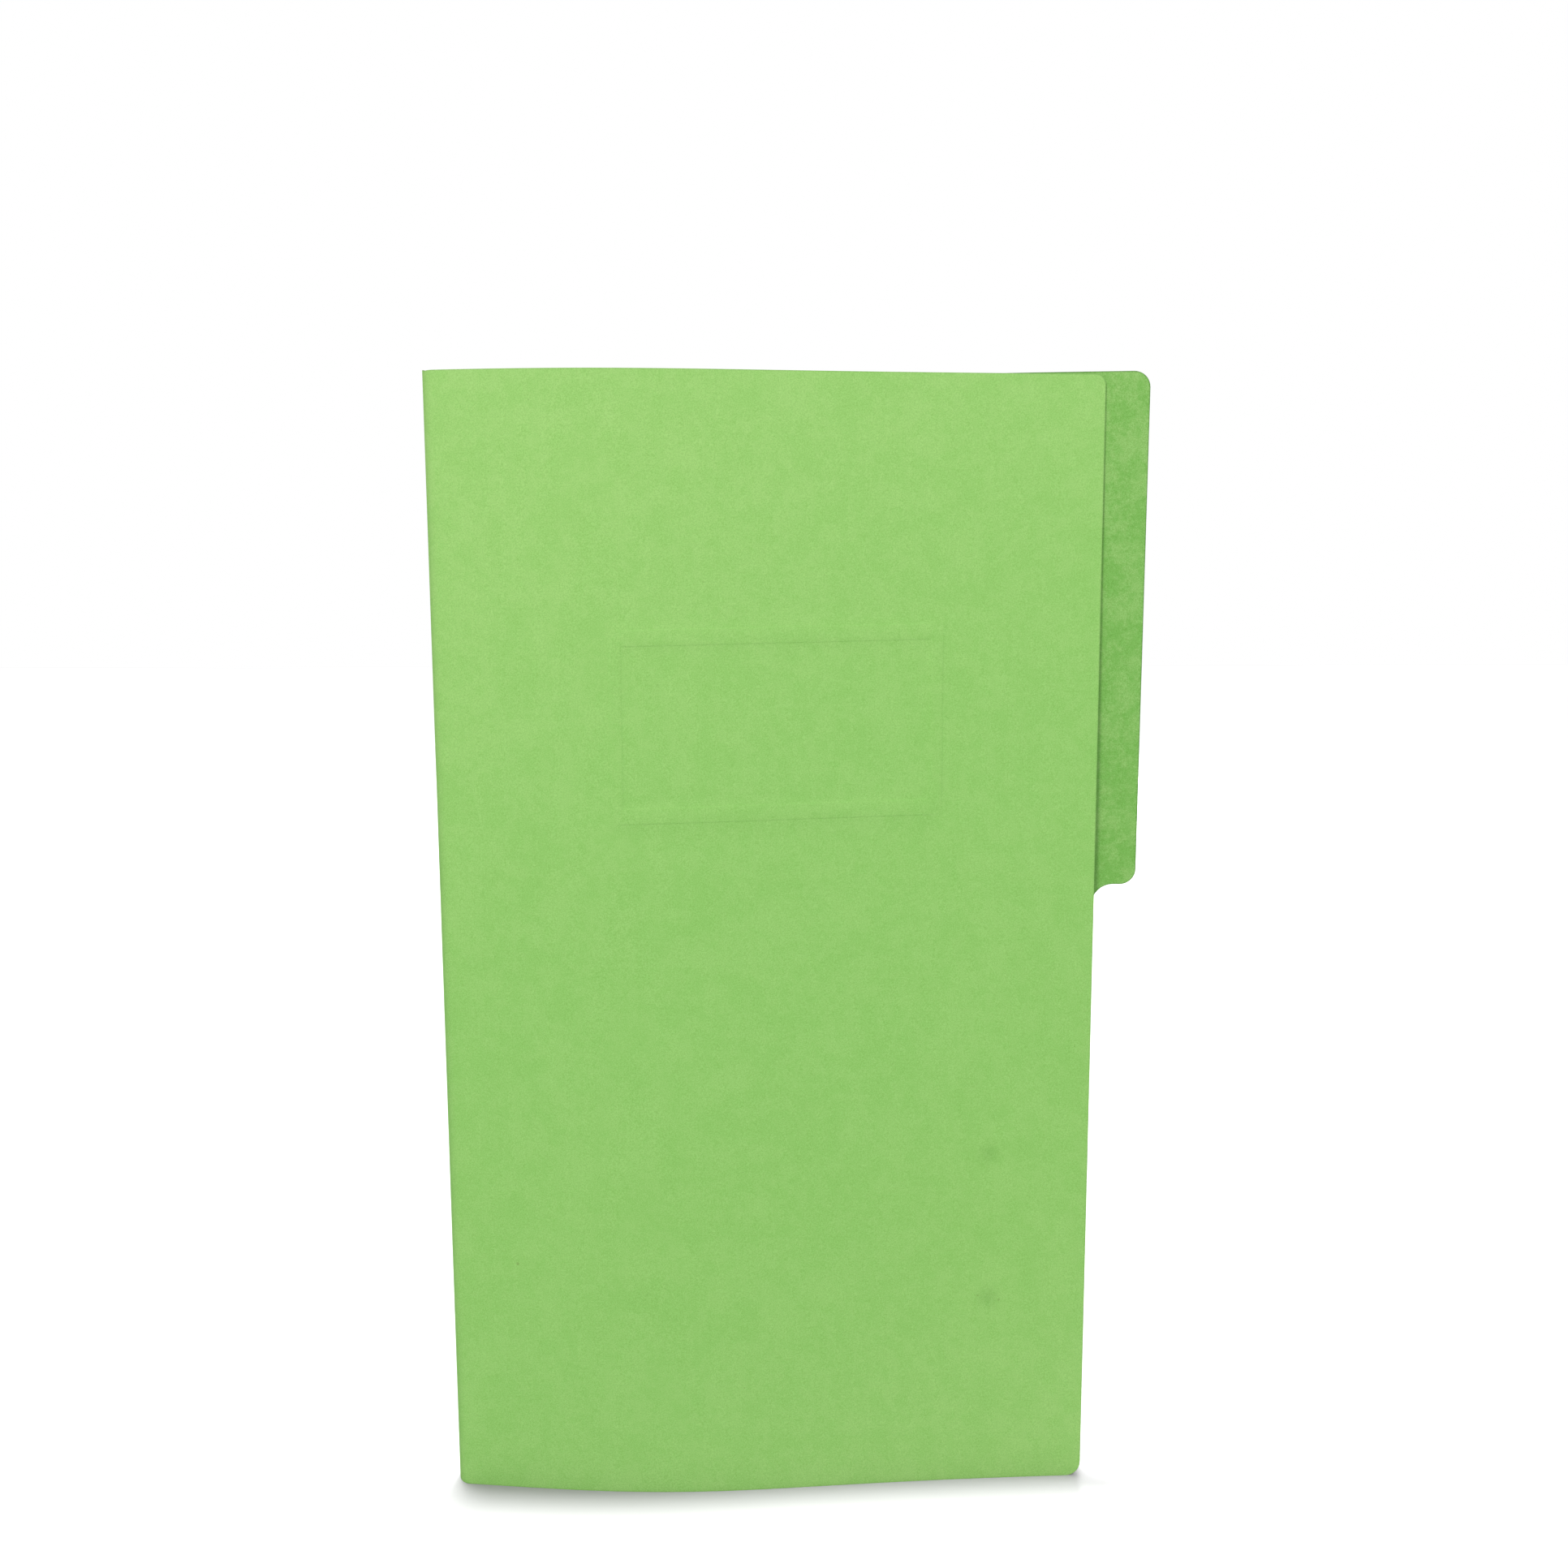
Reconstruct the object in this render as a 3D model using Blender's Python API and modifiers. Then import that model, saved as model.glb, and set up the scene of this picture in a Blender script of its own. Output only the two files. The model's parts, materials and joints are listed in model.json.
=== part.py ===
"""File folder: one sheet of green card, die-cut, embossed, scored and folded, standing on end.

The two flaps and the strips of the spine are separate solids, each hinged to the next at a score
line. Sizes are in metres and angles in degrees. +X runs from the spine to the free edges, the front
flap faces -Y, and +Z is up along the fold. The origin lies under the middle of the folder.
"""

import math
from collections import namedtuple

import bmesh
import bpy

# The sheet
CARD = 0.0004              # thickness of the card
FLAP_HEIGHT = 0.37465      # along the fold
FRONT_WIDTH = 0.2145       # front flap, from its score to its free edge, along the card
BACK_WIDTH = 0.2145        # back flap, from its score to its free edge below the tab
BACK_RISE = 0.001          # the back flap is cut this much taller than the front one
CORNER_RADIUS = 0.005      # lower free corners of both flaps
FRONT_TOP_RADIUS = 0.0035  # upper free corner of the front flap

# The half-cut tab on the back flap
TAB_REACH = 0.0142         # how far it stands past the back flap's free edge
TAB_LENGTH = 0.1663        # from the top down
TAB_RADIUS = 0.0052        # its two outer corners
TAB_FILLET = 0.007         # where its lower side meets the free edge

# The label frame pressed into the front flap
FRAME_WIDTH = 0.1083       # outside, across the flap
FRAME_HEIGHT = 0.0627      # outside, along the fold
FRAME_BAND = 0.0056        # raised band, foot to foot
FRAME_SHOULDER = 0.0008    # slope at each side of the band
FRAME_RISE = 0.0004        # height of the band above the card
FRAME_ACROSS = 0.1092      # its middle, from the front score
FRAME_DOWN = 0.111         # its middle, from the top of the flap
FRAME_TILT = 1.3           # its long sides are pressed in this far out of square

# The spine: strips of card between score lines
SCORE_COUNT = 4
SCORE_PITCH = 0.004        # from one score line to the next
SCORE_GAP = 0.0003         # clear space between two pieces at a folded score line

# How the folder rests: almost shut, with both flaps bowed outwards
FRONT_SPLAY = 5.2          # the front flap leaves the spine this far towards the viewer
EDGE_GAP = 0.0013          # clear space where the front flap's free edge comes nearest the back flap

# Bow of the front flap: straight at first, then turned in over a wide soft ridge that leans
FRONT_RIDGE_LOW = 0.0684   # middle of the ridge, from the score, at the bottom
FRONT_RIDGE_HIGH = 0.0466  # the same at the top
FRONT_SPREAD = 0.104       # width over which the flap turns
FRONT_TURN = 9.85          # how far it turns
FRONT_EDGE_TURN = 2.3      # how far it turns back before the free edge

# Bow of the back flap: the same, with an upright ridge; past its free edge the tab is flat
BACK_RIDGE = 0.102
BACK_SPREAD = 0.14
BACK_TURN = 9.0
BACK_EDGE_TURN = 1.0

# Fineness of the mesh and of the sums
COLUMN_PITCH = 0.0075
ROW_PITCH = 0.027
ARC_STEPS = 6
BEND_STEPS = 40
SEEK_STEPS = 6
CLOSING_STEPS = 40
LEAN_LIMITS = (-20.0, 40.0)
SNAP = 0.00002
SHARP_ANGLE = 20.0

# Finish of the card
FRONT_GREEN = (0.29, 0.58, 0.153)
BACK_GREEN = (0.27, 0.55, 0.14)
CARD_ROUGHNESS = 0.85

Bow = namedtuple("Bow", "ridge_low ridge_high spread turn edge_turn width")
FRONT_BOW = Bow(FRONT_RIDGE_LOW, FRONT_RIDGE_HIGH, FRONT_SPREAD, FRONT_TURN, FRONT_EDGE_TURN, FRONT_WIDTH)
BACK_BOW = Bow(BACK_RIDGE, BACK_RIDGE, BACK_SPREAD, BACK_TURN, BACK_EDGE_TURN, BACK_WIDTH)


def clear_scene():
    for old in list(bpy.data.objects):
        bpy.data.objects.remove(old, do_unlink=True)


def card_material(name, colour):
    material = bpy.data.materials.new(name)
    material.use_nodes = True
    shader = material.node_tree.nodes["Principled BSDF"]
    shader.inputs["Base Color"].default_value = (*colour, 1.0)
    shader.inputs["Roughness"].default_value = CARD_ROUGHNESS
    shader.inputs["Metallic"].default_value = 0.0
    return material


def arc(centre, radius, start, end):
    """Points of a round corner, from one angle to the other."""
    points = []
    for step in range(ARC_STEPS + 1):
        angle = math.radians(start + (end - start) * step / ARC_STEPS)
        points.append((centre[0] + radius * math.cos(angle), centre[1] + radius * math.sin(angle)))
    return points


def front_outline(start):
    """The front flap laid flat: square at the score, round at the two free corners."""
    low = arc((FRONT_WIDTH - CORNER_RADIUS, CORNER_RADIUS), CORNER_RADIUS, -90, 0)
    high_middle = (FRONT_WIDTH - FRONT_TOP_RADIUS, FLAP_HEIGHT - FRONT_TOP_RADIUS)
    high = arc(high_middle, FRONT_TOP_RADIUS, 0, 90)
    return [(start, 0), *low, *high, (start, FLAP_HEIGHT)]


def back_outline(start):
    """The back flap laid flat, with the tab along the upper part of its free edge."""
    top = FLAP_HEIGHT + BACK_RISE
    tab_low = top - TAB_LENGTH
    tab_edge = BACK_WIDTH + TAB_REACH
    points = [(start, 0)]
    points += arc((BACK_WIDTH - CORNER_RADIUS, CORNER_RADIUS), CORNER_RADIUS, -90, 0)
    points += arc((BACK_WIDTH + TAB_FILLET, tab_low - TAB_FILLET), TAB_FILLET, 180, 90)
    points += arc((tab_edge - TAB_RADIUS, tab_low + TAB_RADIUS), TAB_RADIUS, -90, 0)
    points += arc((tab_edge - TAB_RADIUS, top - TAB_RADIUS), TAB_RADIUS, 0, 90)
    points.append((start, top))
    return points


def flat_sheet(name, outline):
    """A filled flat outline as one face, with X across the flap and Y along the fold."""
    curve = bpy.data.curves.new(name + "_outline", "CURVE")
    curve.dimensions = "2D"
    curve.fill_mode = "BOTH"
    spline = curve.splines.new("POLY")
    spline.points.add(len(outline) - 1)
    for point, (across, along) in zip(spline.points, outline):
        point.co = (across, along, 0.0, 1.0)
    spline.use_cyclic_u = True
    guide = bpy.data.objects.new(name + "_outline", curve)
    bpy.context.scene.collection.objects.link(guide)
    graph = bpy.context.evaluated_depsgraph_get()
    mesh = bpy.data.meshes.new_from_object(guide.evaluated_get(graph))
    mesh.name = name
    bpy.data.objects.remove(guide, do_unlink=True)
    sheet = bmesh.new()
    sheet.from_mesh(mesh)
    bmesh.ops.remove_doubles(sheet, verts=sheet.verts, dist=SNAP)
    bmesh.ops.dissolve_faces(sheet, faces=sheet.faces)
    return mesh, sheet


def cut(sheet, faces, place, normal):
    """Divide the given faces along a straight line."""
    edges = {edge for face in faces for edge in face.edges}
    corners = {corner for face in faces for corner in face.verts}
    geometry = [*corners, *edges, *faces]
    bmesh.ops.bisect_plane(sheet, geom=geometry, dist=SNAP, plane_co=place, plane_no=normal)


def divide(sheet, width, height):
    """Rule the sheet into columns and rows, so that it can bend."""
    for column in range(1, math.ceil(width / COLUMN_PITCH)):
        cut(sheet, sheet.faces[:], (column * COLUMN_PITCH, 0, 0), (1, 0, 0))
    for row in range(1, math.ceil(height / ROW_PITCH)):
        cut(sheet, sheet.faces[:], (0, row * ROW_PITCH, 0), (0, 1, 0))


def frame_axes():
    """Middle of the label frame on the flat flap, and the directions square to its sides."""
    tilt = math.radians(FRAME_TILT)
    middle = (FRAME_ACROSS, FLAP_HEIGHT - FRAME_DOWN)
    across = (1.0, 0.0)
    along = (-math.sin(tilt), math.cos(tilt))
    return middle, across, along


def rule_frame(sheet):
    """Add the edges along which the label frame's band rises and falls."""
    middle, across, along = frame_axes()
    reach = FRAME_WIDTH * math.tan(math.radians(abs(FRAME_TILT)))
    for direction, half in ((across, FRAME_WIDTH / 2), (along, FRAME_HEIGHT / 2)):
        for inset in (0, FRAME_SHOULDER, FRAME_BAND - FRAME_SHOULDER, FRAME_BAND):
            for side in (-1, 1):
                shift = side * (half - inset)
                place = (middle[0] + direction[0] * shift, middle[1] + direction[1] * shift, 0)
                cut(sheet, faces_near_frame(sheet, middle, reach), place, (*direction, 0))


def faces_near_frame(sheet, middle, reach):
    """Faces that the label frame can touch."""
    found = []
    for face in sheet.faces:
        across = [corner.co.x - middle[0] for corner in face.verts]
        along = [corner.co.y - middle[1] for corner in face.verts]
        near_across = min(across) < FRAME_WIDTH / 2 + reach and max(across) > -FRAME_WIDTH / 2 - reach
        near_along = min(along) < FRAME_HEIGHT / 2 + reach and max(along) > -FRAME_HEIGHT / 2 - reach
        if near_across and near_along:
            found.append(face)
    return found


def frame_rise(u, v):
    """Height of the pressed band at a point of the flat front flap."""
    middle, across, along = frame_axes()
    du = u - middle[0]
    dv = v - middle[1]
    inside_across = FRAME_WIDTH / 2 - abs(du * across[0] + dv * across[1])
    inside_along = FRAME_HEIGHT / 2 - abs(du * along[0] + dv * along[1])
    inside = min(inside_across, inside_along)
    slope = min(inside, FRAME_BAND - inside) / FRAME_SHOULDER
    return FRAME_RISE * max(0.0, min(1.0, slope))


def smooth(share):
    share = max(0.0, min(1.0, share))
    return share * share * (3 - 2 * share)


def heading(bow, u, v):
    """How far the flap has turned in at distance u from its score and height v, in radians."""
    ridge = bow.ridge_low + (bow.ridge_high - bow.ridge_low) * v / FLAP_HEIGHT
    past_ridge = ridge + bow.spread / 2
    turned = bow.turn * smooth((u - ridge) / bow.spread + 0.5)
    straightened = bow.edge_turn * smooth((u - past_ridge) / max(SNAP, bow.width - past_ridge))
    return math.radians(turned - straightened)


def bent(bow, u, v):
    """Where a point of the flat flap goes: distance from the score, and distance outwards."""
    away = 0.0
    out = 0.0
    step = u / BEND_STEPS
    for index in range(BEND_STEPS):
        angle = heading(bow, (index + 0.5) * step, v)
        away += step * math.cos(angle)
        out -= step * math.sin(angle)
    return away, out


def flap(name, outline, bow, side, framed, parent, colour):
    """One flap: flat outline, ruled, pressed, bent and given the card's thickness."""
    mesh, sheet = flat_sheet(name, outline)
    divide(sheet, max(u for u, v in outline), max(v for u, v in outline))
    if framed:
        rule_frame(sheet)
    for corner in sheet.verts:
        u, v = corner.co.x, corner.co.y
        away, out = bent(bow, u, v)
        angle = heading(bow, u, v)
        lift = frame_rise(u, v) if framed else 0.0
        corner.co = (side * (away + lift * math.sin(angle)), out + lift * math.cos(angle), v)
    sheet.to_mesh(mesh)
    sheet.free()
    card = bpy.data.objects.new(name, mesh)
    thick = card.modifiers.new("card", "SOLIDIFY")
    thick.thickness = CARD
    thick.offset = 0.0
    thick.use_even_offset = True
    finish(card, parent, colour)


def strip(name, setback, parent):
    """One strip of the spine, from its score to the next, laid along -X of its own score."""
    bpy.ops.mesh.primitive_cube_add(size=1.0)
    card = bpy.context.active_object
    card.name = name
    card.data.name = name
    card.scale = (SCORE_PITCH - 2 * setback, CARD, FLAP_HEIGHT)
    card.location = (-SCORE_PITCH / 2, 0.0, FLAP_HEIGHT / 2)
    bpy.ops.object.transform_apply(location=True, rotation=False, scale=True)
    card.users_collection[0].objects.unlink(card)
    finish(card, parent, FRONT_GREEN)


def finish(card, parent, colour):
    bpy.data.collections["file_folder"].objects.link(card)
    card.parent = parent
    card.data.materials.clear()
    card.data.materials.append(card_material(card.name + "_card", colour))
    card.data.shade_smooth()
    card.data.set_sharp_from_angle(angle=math.radians(SHARP_ANGLE))


def score(name, parent, along, turn):
    """An empty on a score line, turned by the fold that the score holds at rest."""
    axis = bpy.data.objects.new(name, None)
    bpy.data.collections["file_folder"].objects.link(axis)
    axis.parent = parent
    axis.location = (along, 0.0, 0.0)
    axis.rotation_euler = (0.0, 0.0, math.radians(turn))
    return axis


def fold_at(back_splay):
    """The fold that each score holds, so that all of them together bring the front flap round."""
    return (180 - FRONT_SPLAY - back_splay) / SCORE_COUNT


def score_setback(fold):
    """How far a piece stops short of its score line, so that folded corners stay clear."""
    half_fold = math.radians(fold / 2)
    return SCORE_GAP / 2 / math.cos(half_fold) + CARD / 2 * math.tan(half_fold)


def gap_at(back_splay, v):
    """Clear space between the front flap's free edge and the back flap, at height v."""
    fold = fold_at(back_splay)
    x, y = 0.0, 0.0
    for strip_number in range(1, SCORE_COUNT):
        angle = math.radians(180 + strip_number * fold)
        x += SCORE_PITCH * math.cos(angle)
        y += SCORE_PITCH * math.sin(angle)
    away, out = bent(FRONT_BOW, FRONT_WIDTH, v)
    angle = math.radians(SCORE_COUNT * fold)
    edge_x = x - away * math.cos(angle) - out * math.sin(angle)
    edge_y = y - away * math.sin(angle) + out * math.cos(angle)
    u = edge_x
    for again in range(SEEK_STEPS):
        u += edge_x - bent(BACK_BOW, u, v)[0]
    return bent(BACK_BOW, u, v)[1] - edge_y - CARD


def closed_splay():
    """The lean of the back flap at which the folder is just shut."""
    low, high = LEAN_LIMITS
    for halving in range(CLOSING_STEPS):
        middle = (low + high) / 2
        nearest = min(gap_at(middle, 0.0), gap_at(middle, FLAP_HEIGHT))
        if nearest < EDGE_GAP:
            low = middle
        else:
            high = middle
    return (low + high) / 2


def centre(root):
    """Move the folder so that the origin lies under the middle of its box."""
    bpy.context.view_layer.update()
    graph = bpy.context.evaluated_depsgraph_get()
    points = []
    for card in bpy.data.collections["file_folder"].objects:
        if card.type == "MESH":
            solid = card.evaluated_get(graph)
            points += [card.matrix_world @ corner.co for corner in solid.data.vertices]
    for axis in (0, 1):
        values = [point[axis] for point in points]
        root.location[axis] -= (min(values) + max(values)) / 2


def main():
    clear_scene()
    bpy.context.scene.collection.children.link(bpy.data.collections.new("file_folder"))
    back_splay = closed_splay()
    fold = fold_at(back_splay)
    setback = score_setback(fold)
    root = score("back_lean", None, 0.0, back_splay)
    flap("back_flap", back_outline(setback), BACK_BOW, 1, False, root, BACK_GREEN)
    axis = score("score_1", root, 0.0, fold)
    for number in range(1, SCORE_COUNT):
        strip("spine_strip_%d" % number, setback, axis)
        axis = score("score_%d" % (number + 1), axis, -SCORE_PITCH, fold)
    flap("front_flap", front_outline(setback), FRONT_BOW, -1, True, axis, FRONT_GREEN)
    centre(root)


main()
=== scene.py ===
# %% [markdown]
# # A green card file folder, standing on end
#
# The folder is one sheet of card: cut to shape, pressed with a label frame, scored and folded. The
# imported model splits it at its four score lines, and it is loaded here as the fixed frame that
# every piece is built around. All sizes are in metres. +X runs from the fold to the tab, -Y is the
# front and +Z is up.

# %% The frame
import json
import math

import bmesh
import bpy
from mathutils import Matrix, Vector
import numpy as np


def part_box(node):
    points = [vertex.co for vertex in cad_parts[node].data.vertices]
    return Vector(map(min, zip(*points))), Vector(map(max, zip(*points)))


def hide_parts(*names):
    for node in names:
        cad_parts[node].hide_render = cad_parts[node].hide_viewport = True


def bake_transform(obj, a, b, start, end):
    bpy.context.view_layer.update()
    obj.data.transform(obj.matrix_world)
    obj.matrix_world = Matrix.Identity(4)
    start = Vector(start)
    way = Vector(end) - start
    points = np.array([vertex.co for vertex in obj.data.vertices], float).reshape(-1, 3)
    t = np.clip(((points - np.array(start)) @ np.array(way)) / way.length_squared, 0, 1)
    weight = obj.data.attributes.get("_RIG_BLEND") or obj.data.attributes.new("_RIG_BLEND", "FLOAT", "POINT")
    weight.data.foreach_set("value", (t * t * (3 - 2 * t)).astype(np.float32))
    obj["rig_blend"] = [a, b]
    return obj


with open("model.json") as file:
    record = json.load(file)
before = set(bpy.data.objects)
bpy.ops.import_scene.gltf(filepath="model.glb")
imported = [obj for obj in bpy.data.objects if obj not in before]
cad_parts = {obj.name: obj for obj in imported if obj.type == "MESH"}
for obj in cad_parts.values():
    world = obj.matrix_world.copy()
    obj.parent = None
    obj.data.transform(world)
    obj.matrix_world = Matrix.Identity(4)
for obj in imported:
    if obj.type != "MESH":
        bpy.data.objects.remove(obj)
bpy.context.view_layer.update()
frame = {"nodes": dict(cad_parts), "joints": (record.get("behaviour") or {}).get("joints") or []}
bpy.ops.object.select_all(action="DESELECT")
print("frame:", ", ".join(sorted(frame["nodes"])))

# %% [markdown]
# ## Where the card folds
#
# Every place in this lesson follows from the four score lines, which are the joints of the packed
# model. Two neighbouring scores give the direction of the strip between them, and each score bends
# the card by the same fold. So the directions in which the two flaps leave the fold need no new
# numbers.

# %% Score lines and directions
score = {joint["name"]: Vector(joint["pos_m"]) for joint in frame["joints"]}


def bearing(start, end):
    """Angle of the line from one score to another, seen from above."""
    step = end - start
    return math.atan2(step.y, step.x)


FOLD = bearing(score["score_3"], score["score_2"]) - bearing(score["score_2"], score["score_1"])
BACK_BEARING = bearing(score["score_2"], score["score_1"]) - FOLD
FRONT_BEARING = bearing(score["score_3"], score["score_4"]) + FOLD
STRIP = (score["score_2"] - score["score_1"]).length
FRONT_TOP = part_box("front_flap")[1].z
BACK_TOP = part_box("back_flap")[1].z
print("each score folds the card by %.1f degrees" % math.degrees(FOLD))

# %% [markdown]
# ## The bow of the flaps
#
# Each flap leaves the fold straight, turns in over one wide soft ridge and straightens a little
# before its free edge. On the front flap the ridge leans, and its upper corner lies closer to the
# tab. A bow like this could be made with a lattice or by sculpting, but card does not stretch, so
# the surest way is to walk along it: at each small step the heading is known, and the sum of the
# steps is the shape.

# %% The two bows
FRONT_BOW = {
    "ridge_low": 0.0684,   # from the score to the middle of the ridge, at the foot
    "ridge_high": 0.0466,  # and at the top
    "spread": 0.104,       # width of the ridge
    "turn": 9.85,          # degrees that the flap turns in over the ridge
    "edge_turn": 2.3,      # degrees that it straightens towards its free edge
    "top_turn": 0.32,      # degrees that its upper half turns in more
}
BACK_BOW = {
    "ridge_low": 0.102,
    "ridge_high": 0.102,
    "spread": 0.14,
    "turn": 9.0,
    "edge_turn": 1.0,
    "top_turn": 0.0,
}
lean = FRONT_BOW["ridge_low"] - FRONT_BOW["ridge_high"]
print("the front ridge leans by %.0f mm from foot to top" % (1000 * lean))

# %% Heading of the card
FLAP_WIDTH = 0.2145        # from the score to the free edge, along the card
WALK_STEP = 0.0015         # length of one step along the card
LEFT = 1                   # the two ways to turn, seen from above
RIGHT = -1


def soft_step(share):
    """A smooth change from 0 to 1."""
    share = max(0.0, min(1.0, share))
    return share * share * (3 - 2 * share)


def heading(bow, along, height):
    """How far the flap has turned in at a distance from its score, in radians."""
    ridge = bow["ridge_low"] + (bow["ridge_high"] - bow["ridge_low"]) * height / FRONT_TOP
    past_ridge = ridge + bow["spread"] / 2
    turn = bow["turn"] + bow["top_turn"] * soft_step(2 * height / FRONT_TOP - 1)
    turned = turn * soft_step((along - ridge) / bow["spread"] + 0.5)
    straightened = bow["edge_turn"] * soft_step((along - past_ridge) / (FLAP_WIDTH - past_ridge))
    return math.radians(turned - straightened)


def step_move(bow, flap_bearing, inward, along, height):
    """One step along the card; inward is LEFT or RIGHT, the way that the flap turns in."""
    angle = flap_bearing + inward * heading(bow, along, height)
    return Vector((WALK_STEP * math.cos(angle), WALK_STEP * math.sin(angle), 0.0))


for title, bow in (("front", FRONT_BOW), ("back", BACK_BOW)):
    edge_heading = heading(bow, FLAP_WIDTH, FRONT_TOP)
    print("%s flap: turned in by %.1f degrees at its upper corner" % (title, math.degrees(edge_heading)))

# %% [markdown]
# ## A former for each flap
#
# A former is a plain surface with the flap's bow, on which the cut sheet is laid later. It could be
# lofted from curves. Here it is drawn as by hand, which keeps the length of every step: a single
# point at the score is extruded step by step along the heading, at a few heights, and the walks are
# bridged to a surface. The former is deleted once the card has taken its shape.

# %% Building a former
CARD = 0.0004              # thickness of the card
WALK_SPARE = 0.004         # how far a former runs on past the card's borders
FORMER_HEIGHTS = 6         # number of walks


def one_point(place):
    """A plane shrunk to a single point, from which a walk is extruded."""
    bpy.ops.mesh.primitive_plane_add(size=CARD, location=place)
    if bpy.context.mode == "OBJECT":
        bpy.ops.object.mode_set(mode="EDIT")
    bpy.ops.mesh.merge(type="CENTER")


def former(name, corner, bow, flap_bearing, inward, reach):
    """The bowed surface of a flap, from its score to a little past its free edge."""
    bpy.ops.object.select_all(action="DESELECT")
    low = -WALK_SPARE
    high = BACK_TOP + WALK_SPARE
    for level in range(FORMER_HEIGHTS):
        height = low + (high - low) * level / (FORMER_HEIGHTS - 1)
        one_point(corner + Vector((0.0, 0.0, height)))
        for step in range(math.ceil((reach + WALK_SPARE) / WALK_STEP)):
            move = step_move(bow, flap_bearing, inward, (step + 0.5) * WALK_STEP, height)
            bpy.ops.mesh.extrude_region_move(TRANSFORM_OT_translate={"value": move})
    bpy.ops.mesh.select_all(action="SELECT")
    bpy.ops.mesh.bridge_edge_loops()
    bpy.ops.object.mode_set(mode="OBJECT")
    shape = bpy.context.active_object
    shape.name = name
    return shape


# %% Formers
TAB_REACH = 0.0142         # how far the tab stands past the back flap's free edge

front_former = former("front_former", score["score_4"], FRONT_BOW, FRONT_BEARING, LEFT, FLAP_WIDTH)
back_reach = FLAP_WIDTH + TAB_REACH
back_former = former("back_former", score["score_1"], BACK_BOW, BACK_BEARING, RIGHT, back_reach)
print("formers:", len(front_former.data.polygons), "and", len(back_former.data.polygons), "faces")

# %% [markdown]
# ## Cutting a blank
#
# The flat sheet is cut first, as in the factory: a rectangle with round corners, and on the back
# flap a tab along the upper half of the free edge. A curve with filled ends could give the same
# outline. A plane with bevelled corners is simpler, because it is a mesh from the start and each
# corner keeps its own radius. An inset runs a line along the border, where the cutting die has
# pressed the card. The fold side is cut last, past the inset's own corners, so that the border runs
# on over the fold.

# %% Cutting tools: blank and corners
NEAR = 0.00005             # two places closer than this are the same
CORNER_STEPS = 8


def pick(card, test):
    """Select only the points of the card, in edit mode, for which the test holds."""
    bpy.ops.mesh.select_all(action="DESELECT")
    mesh = bmesh.from_edit_mesh(card.data)
    for point in mesh.verts:
        point.select_set(test(point.co))
    mesh.select_flush(True)
    bmesh.update_edit_mesh(card.data)


def blank(name, left, right, top):
    """A standing rectangle of card, left in edit mode."""
    bpy.ops.object.select_all(action="DESELECT")
    middle = ((left + right) / 2, 0.0, top / 2)
    bpy.ops.mesh.primitive_plane_add(size=1.0, location=middle, rotation=(math.pi / 2, 0.0, 0.0))
    card = bpy.context.active_object
    card.name = name
    bpy.ops.object.transform_apply(location=True, rotation=True, scale=True)
    bpy.ops.object.mode_set(mode="EDIT")
    bpy.ops.mesh.select_all(action="SELECT")
    bpy.ops.transform.resize(value=(right - left, 1.0, top), center_override=middle)
    return card


def round_corner(card, place, radius):
    """Round one corner of a flat blank."""
    pick(card, lambda point: (point - Vector((place[0], 0.0, place[1]))).length < NEAR)
    bpy.ops.mesh.bevel(offset=radius, segments=CORNER_STEPS, affect="VERTICES")


# %% Cutting tools: straight lines
BORDER = 0.0006            # width of the pressed border along a cut


def rule(place, normal, **options):
    """Rule a straight line across the whole blank; an option can clear one side of it."""
    bpy.ops.mesh.select_all(action="SELECT")
    bpy.ops.mesh.bisect(plane_co=place, plane_no=normal, threshold=NEAR / 10, **options)


def rule_column(across, **options):
    """Rule an upright line at a distance across."""
    rule((across, 0.0, 0.0), (1.0, 0.0, 0.0), **options)


def rule_row(height):
    """Rule a level line at a height."""
    rule((0.0, 0.0, height), (0.0, 0.0, 1.0))


def border_line(fold_edge):
    """Run a line along the border of the blank, then cut the blank at the fold side."""
    bpy.ops.mesh.select_all(action="SELECT")
    bpy.ops.mesh.inset(thickness=BORDER, use_boundary=True)
    rule_column(fold_edge, clear_inner=True)


# %% [markdown]
# ## Laying the blank on its former
#
# The blank is ruled into columns and rows, so that it can bend, and a Shrinkwrap modifier carries
# every point straight along Y onto the former. A Simple Deform modifier could bend it too, but only
# round one straight axis, and the ridge leans. Then the edge next to the fold is spun round the
# fold's own radius, half way over the strip of the spine. The radius is the one that is tangent to
# two strips at their middles.

# %% Tools for bending card
COLUMN = 0.0025            # width of a ruled column
FOLD_STEPS = 16
FOLD_RADIUS = STRIP / 2 / math.tan(FOLD / 2)


def ruled_places(low, high, pitch, clear_of=()):
    """Even places between two borders, with a line close to each, away from the given bands."""
    first = low + COLUMN
    last = high - COLUMN
    count = round((high - low) / pitch)
    even = [low + (high - low) * step / count for step in range(1, count)]
    places = [first, last] + [place for place in even if first < place < last]
    return [place for place in places if not any(start < place < end for start, end in clear_of)]


def wrap(card, shape):
    """Carry the blank along Y onto its former."""
    bpy.ops.object.mode_set(mode="OBJECT")
    lay = card.modifiers.new("lay", "SHRINKWRAP")
    lay.target = shape
    lay.wrap_method = "PROJECT"
    lay.use_project_y = True
    lay.use_negative_direction = True
    lay.use_positive_direction = True
    bpy.ops.object.modifier_apply(modifier=lay.name)
    bpy.data.objects.remove(shape, do_unlink=True)
    bpy.ops.object.mode_set(mode="EDIT")


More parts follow.
